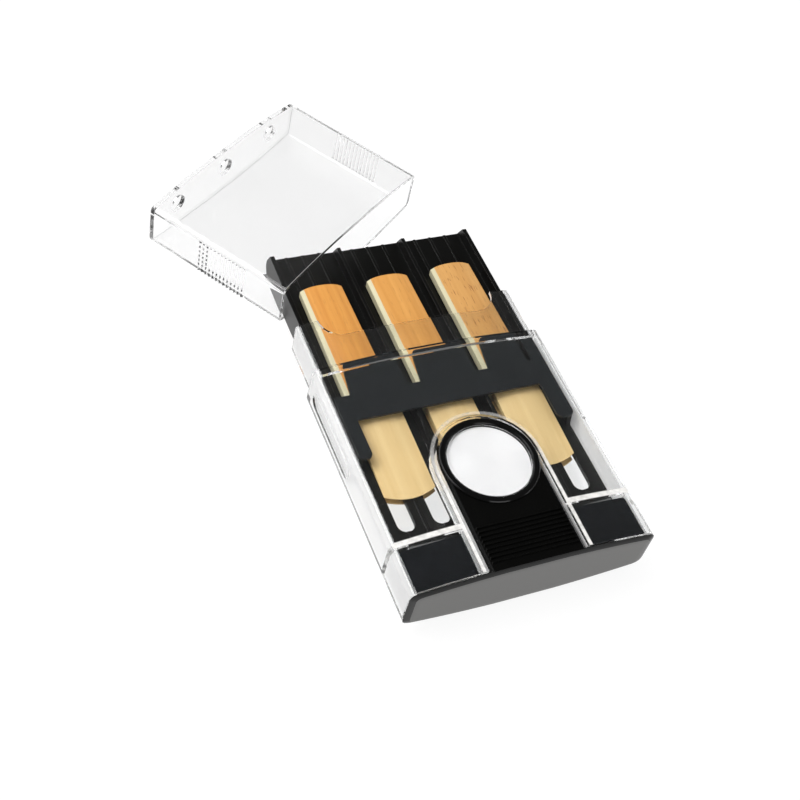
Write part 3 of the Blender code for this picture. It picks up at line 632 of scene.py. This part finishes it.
def barred_face(name, with_slot):
    """The clear face of the sleeve with painted white highlight bars where the partition and the slot's rim
    meet it.
    """
    material, nodes, links, shader = surface_material(name, CLEAR_TINT, CLEAR_ROUGHNESS, ior=CLEAR_IOR)
    shader.inputs["Transmission Weight"].default_value = 1.0
    wave = object_noise(nodes, links, WAVE_SCALE, detail=1.0)
    bumped(nodes, links, shader, wave, WAVE_STRENGTH, SLEEVE_WAVE)
    place = nodes.new("ShaderNodeTexCoord")
    axes = nodes.new("ShaderNodeSeparateXYZ")
    links.new(place.outputs["Object"], axes.inputs[0])
    across, along = axes.outputs["X"], axes.outputs["Y"]
    white = bar(nodes, links, along, PARTITION_Y, PARTITION_HALF)
    if with_slot:
        beside = calculated(nodes, links, "ABSOLUTE", across, 0.0)
        beside = calculated(nodes, links, "GREATER_THAN", beside, RIM_MIDDLE)
        white = calculated(nodes, links, "MULTIPLY", white, beside)
        past = calculated(nodes, links, "SUBTRACT", along, SLOT_CENTRE_Y)
        past = calculated(nodes, links, "MAXIMUM", past, 0.0)
        squares = [calculated(nodes, links, "POWER", value, 2.0) for value in (
            calculated(nodes, links, "ABSOLUTE", across, 0.0), past)]
        reach = calculated(nodes, links, "SQRT", calculated(nodes, links, "ADD", *squares), 0.0)
        rim = bar(nodes, links, reach, RIM_MIDDLE, RIM_HALF)
        fade = ranged(nodes, links, along, 1.0, ARCH_HIGHLIGHT, *ARCH_FADE)
        rim = calculated(nodes, links, "MULTIPLY", rim, fade)
        white = calculated(nodes, links, "MAXIMUM", white, rim)
    # Painted highlight: a diffuse white, broken by a flow noise, is mixed into the clear face over the bars.
    flow = ranged(nodes, links, object_noise(nodes, links, HIGHLIGHT_FLOW_SCALE, detail=2.0), *HIGHLIGHT_FLOW)
    painted_highlight = nodes.new("ShaderNodeBsdfDiffuse")
    painted_highlight.inputs["Color"].default_value = (*BAR_HIGHLIGHT_TINT, 1)
    mix = nodes.new("ShaderNodeMixShader")
    links.new(calculated(nodes, links, "MULTIPLY", white, flow), mix.inputs[0])
    links.new(shader.outputs[0], mix.inputs[1])
    links.new(painted_highlight.outputs[0], mix.inputs[2])
    clear_shader(nodes, links, mix.outputs[0], nodes["Material Output"].inputs["Surface"], PASSING_TINT)
    return material


def finish_sleeve(mesh):
    """Draws the lower end further down, sorts the faces and rounds the edges that catch the light."""
    low = min(vertex.co.y for vertex in mesh.verts) - END_SHIFT
    top = max(vertex.co.z for vertex in mesh.verts)
    middle = top / 2
    for vertex in mesh.verts:
        if vertex.co.y < low + END_SHIFT + WELD:
            vertex.co.y = low
    rim = [edge for edge in mesh.edges if edge.calc_face_angle(0.0) > CREASE
           and all(vertex.co.y > COLLAR_START for vertex in edge.verts)]
    made = bmesh.ops.bevel(mesh, geom=rim, offset=COLLAR_EDGE, offset_type="OFFSET", segments=2, profile=0.5,
                           affect="EDGES", clamp_overlap=True, material=-1)
    collar_faces = set(made["faces"])
    faces = [face for face in mesh.faces if abs(face.normal.z) > FACE_TURN]
    for face in mesh.faces:
        inside = face.calc_center_median().x * face.normal.x < 0
        at_side = inside and abs(face.normal.x) > FACE_TURN
        face.material_index = FROSTED_SLOT if at_side else CLEAR_SLOT
        # The collar's rounded rim takes the dark painted shadow material.
        if face in collar_faces:
            face.material_index = COLLAR_SHADOW_SLOT
    for face in faces:
        outside = (face.calc_center_median().z - middle) * face.normal.z > 0
        if outside and face not in collar_faces and face.calc_center_median().y < FACE_END:
            face.material_index = FRONT_SLOT if face.normal.z > 0 else BACK_SLOT
    chosen = []
    for edge in mesh.edges:
        if edge.calc_face_angle(0.0) < CREASE:
            continue
        ends = [vertex.co for vertex in edge.verts]
        at_end = all(co.y < low + WELD for co in ends)
        reach = [math.hypot(co.x, max(co.y - SLOT_CENTRE_Y, 0.0)) for co in ends]
        on_face = all(co.z > middle + SLOT_RISE for co in ends)
        at_slot = on_face and all(abs(value - SLOT_HALF) < SLOT_REACH for value in reach)
        if at_end or at_slot:
            chosen.append(edge)
    made = bmesh.ops.bevel(mesh, geom=chosen, offset=BRIGHT_EDGE, offset_type="OFFSET",
                           segments=BRIGHT_SEGMENTS, profile=0.5, affect="EDGES", clamp_overlap=True,
                           material=-1)
    # The rounded end and slot edges take the mostly white edge material: painted highlight.
    for face in made["faces"]:
        face.material_index = HIGHLIGHT_SLOT


clear = clear_plastic("clear_plastic", CLEAR_TINT, CLEAR_ROUGHNESS, SLEEVE_WAVE)
# Mostly white and only a little clear: painted highlight for the light that the sleeve's end and slot edges
# catch.
edge_highlight = clear_plastic("painted_edge_highlight", (0.97, 0.97, 0.965), roughness=0.3, wave=SLEEVE_WAVE, clearness=0.3)
# Dark brownish grey on the collar's rounded rim: painted shadow for the line that the collar's edge casts on
# the reeds.
collar_painted_shadow = clear_plastic("collar_painted_shadow", (0.34, 0.30, 0.27), roughness=0.4, wave=LID_WAVE, clearness=0.35)
frosted = clear_plastic("frosted_side", (0.99, 0.98, 0.98), roughness=0.35, wave=SLEEVE_WAVE, clearness=0.3)
sleeve = moulded_copy("sleeve", "sleeve_shell", SLEEVE_EDGE, shape=finish_sleeve)
for material in (clear, edge_highlight, barred_face("front_face", True), barred_face("back_face", False), frosted,
                 collar_painted_shadow):
    sleeve.data.materials.append(material)
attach(sleeve, "case")
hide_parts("sleeve")


def finish_lid(mesh):
    """Rounds the lid's long edges, where its walls meet and end, more than its ribs and vents; their grey
    material is painted shade.
    """
    walls = [edge for edge in mesh.edges if edge.calc_face_angle(0.0) > CREASE
             and min(face.calc_area() for face in edge.link_faces) > WALL_AREA]
    made = bmesh.ops.bevel(mesh, geom=walls, offset=LID_LINE, offset_type="OFFSET", segments=3, profile=0.5,
                           affect="EDGES", clamp_overlap=True, material=-1)
    for face in made["faces"]:
        face.material_index = LID_SHADE_SLOT


lid_shell = moulded_copy("lid", "lid_shell", LID_EDGE, edge_material=LID_SHADE_SLOT, shape=finish_lid)
lid_plastic = clear_plastic("lid_plastic", (0.99, 0.99, 0.99), CLEAR_ROUGHNESS, LID_WAVE,
                            passing=(0.985, 0.985, 0.985))
# The lid's rounded edges are painted mid grey: painted shade for the grey lines along clear edges.
lid_edge_painted_shade = clear_plastic("lid_edge_painted_shade", (0.52, 0.52, 0.53), roughness=0.5, wave=LID_WAVE, clearness=0.2)
lid_shell.data.materials.append(lid_plastic)
lid_shell.data.materials.append(lid_edge_painted_shade)
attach(lid_shell, "lid")
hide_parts("lid")


# Foam. Four cut blocks of dark sponge lie on the drawer's web beside the tongue, with a little room
# at their sides. Each is crowned between its rounded edges and slopes down with the domed face.
FOAM_CORNER = 0.0005
FOAM_CROWN = 0.00012
FOAM_CUTS = 20
FOAM_SHINE = 0.12
FOAM_ROUGHNESS = 0.95
FOAM_COLOUR = (0.004, 0.0055, 0.007)
FOAM_DARK = (0.0032, 0.0042, 0.0056)
FOAM_LIGHT = (0.0055, 0.0068, 0.0088)
PATCH_SCALE = 500.0
PATCH_RANGE = (0.35, 0.65)
CELL_SCALE = 2400.0
CELL_STRENGTH = 0.5
CELL_DEPTH = 0.0001


def sponge_block(node):
    """A crowned block with round edges for a CAD foam block, drawn on down to the thinner cap."""
    low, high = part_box(node)
    low.y -= END_SHIFT
    size = high - low
    centre = (low + high) / 2
    solid = [vertex.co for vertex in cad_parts[node].data.vertices]
    outer = max(abs(low.x), abs(high.x))
    reach = max(abs(low.z - MIDDLE_HEIGHT), abs(high.z - MIDDLE_HEIGHT))
    outer_reach = max(abs(co.z - MIDDLE_HEIGHT) for co in solid if abs(co.x) > outer - WELD)
    seat = min(abs(low.z - MIDDLE_HEIGHT), abs(high.z - MIDDLE_HEIGHT))
    side = 1 if centre.z > MIDDLE_HEIGHT else -1
    mesh = bmesh.new()
    bmesh.ops.create_cube(mesh, size=1)
    bmesh.ops.subdivide_edges(mesh, edges=mesh.edges, cuts=FOAM_CUTS, use_grid_fill=True)
    for vertex in mesh.verts:
        share = vertex.co * 2
        place = Vector()
        for axis in range(3):
            one, two = [share[other] ** 2 for other in range(3) if other != axis]
            full = size[axis] / 2 - FOAM_CROWN * (1 - (1 - one) * (1 - two))
            place[axis] = share[axis] * full
        inner = [size[axis] / 2 - FOAM_CROWN - FOAM_CORNER for axis in range(3)]
        core = Vector([min(max(place[axis], -inner[axis]), inner[axis]) for axis in range(3)])
        past = place - core
        if sum(1 for axis in range(3) if abs(past[axis]) > WELD) > 1:
            place = core + past.normalized() * max(abs(value) for value in past)
        vertex.co = centre + place
        height = (vertex.co.z - MIDDLE_HEIGHT) * side - seat
        here = reach + (outer_reach - reach) * (abs(vertex.co.x) - outer + size.x) / size.x
        vertex.co.z = MIDDLE_HEIGHT + side * (seat + height * (here - seat) / (reach - seat))
    data = bpy.data.meshes.new(node + "_sponge")
    mesh.to_mesh(data)
    mesh.free()
    data.shade_smooth()
    return link(node + "_sponge", data)


def sponge_material():
    """Dark blue-grey sponge with fine open cells."""
    material, nodes, links, shader = surface_material("foam", FOAM_COLOUR, FOAM_ROUGHNESS)
    shader.inputs["Specular IOR Level"].default_value = FOAM_SHINE
    place = nodes.new("ShaderNodeTexCoord")
    cells = nodes.new("ShaderNodeTexVoronoi")
    cells.inputs["Scale"].default_value = CELL_SCALE
    links.new(place.outputs["Object"], cells.inputs["Vector"])
    mix = nodes.new("ShaderNodeMix")
    mix.data_type = "RGBA"
    mix.inputs["A"].default_value = (*FOAM_DARK, 1)
    mix.inputs["B"].default_value = (*FOAM_LIGHT, 1)
    patches = ranged(nodes, links, object_noise(nodes, links, PATCH_SCALE), 0.0, 1.0, *PATCH_RANGE)
    links.new(patches, mix.inputs["Factor"])
    links.new(mix.outputs["Result"], shader.inputs["Base Color"])
    bumped(nodes, links, shader, cells.outputs["Distance"], CELL_STRENGTH, CELL_DEPTH)
    return material


foam = sponge_material()
for node in [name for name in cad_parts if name.startswith("foam_")]:
    block = sponge_block(node)
    block.data.materials.append(foam)
    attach(block, "drawer")
    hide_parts(node)


# Indicator. A glossy black moulded cup with a raised rim sits in the tongue's hole. It holds a felt
# pad, a white card and a clear window, laid one on the other.
CUP_EDGE = 0.00008
CARD_EDGE = 0.00005
WINDOW_EDGE = 0.00008
PAD_CORNER = 0.0005
PAD_CROWN = 0.00008
PAD_STEPS = 64
PAD_RINGS = 12
PAD_CORNER_STEPS = 4
cup = moulded_copy("indicator_cup", "cup_body", CUP_EDGE)
cup_gloss = moulded_plastic("cup_gloss", (0.003, 0.003, 0.003), roughness=0.14, spread=0.03,
                            grain=2200.0, depth=0.000004)
cup.data.materials.append(cup_gloss)
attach(cup, "drawer")
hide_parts("indicator_cup")
card = moulded_copy("indicator_card", "card_disc", CARD_EDGE)
card_white = moulded_plastic("card_white", (0.9, 0.9, 0.905), roughness=0.5, spread=0.03,
                             grain=300.0, depth=0.000001)
card.data.materials.append(card_white)
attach(card, "drawer")
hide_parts("indicator_card")
window = moulded_copy("indicator_window", "window_disc", WINDOW_EDGE)
window_plastic = clear_plastic("window", (0.99, 0.99, 0.99), roughness=0.02, wave=LID_WAVE,
                               passing=(0.985, 0.985, 0.985))
window.data.materials.append(window_plastic)
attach(window, "drawer")
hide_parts("indicator_window")


def felt_disc(node):
    """A round pad, thickest in the middle, turned from half of its outline."""
    low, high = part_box(node)
    radius = (high.x - low.x) / 2
    half = (high.z - low.z) / 2
    outline = []
    for ring in range(PAD_RINGS + 1):
        out = (radius - PAD_CORNER) * ring / PAD_RINGS
        outline.append((out, half - PAD_CROWN * (ring / PAD_RINGS) ** 2))
    side = half - PAD_CROWN - PAD_CORNER
    for step in range(1, PAD_CORNER_STEPS + 1):
        angle = math.pi / 2 * step / PAD_CORNER_STEPS
        out = radius - PAD_CORNER + PAD_CORNER * math.sin(angle)
        outline.append((out, side + PAD_CORNER * math.cos(angle)))
    outline += [(out, -height) for out, height in reversed(outline)]
    mesh = bmesh.new()
    points = [mesh.verts.new((out, 0, height)) for out, height in outline]
    lines = [mesh.edges.new(pair) for pair in zip(points, points[1:])]
    bmesh.ops.spin(mesh, geom=points + lines, axis=(0, 0, 1), steps=PAD_STEPS, angle=2 * math.pi,
                   use_merge=True)
    bmesh.ops.remove_doubles(mesh, verts=mesh.verts, dist=WELD)
    bmesh.ops.recalc_face_normals(mesh, faces=mesh.faces)
    bmesh.ops.translate(mesh, verts=mesh.verts, vec=(low + high) / 2)
    data = bpy.data.meshes.new("felt_pad")
    mesh.to_mesh(data)
    mesh.free()
    data.shade_smooth()
    return link("felt_pad", data)


pad = felt_disc("humidity_pad")
felt = moulded_plastic("felt", (0.75, 0.74, 0.7), roughness=0.95, spread=0.03, grain=1500.0, depth=0.00005)
pad.data.materials.append(felt)
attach(pad, "drawer")
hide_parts("humidity_pad")
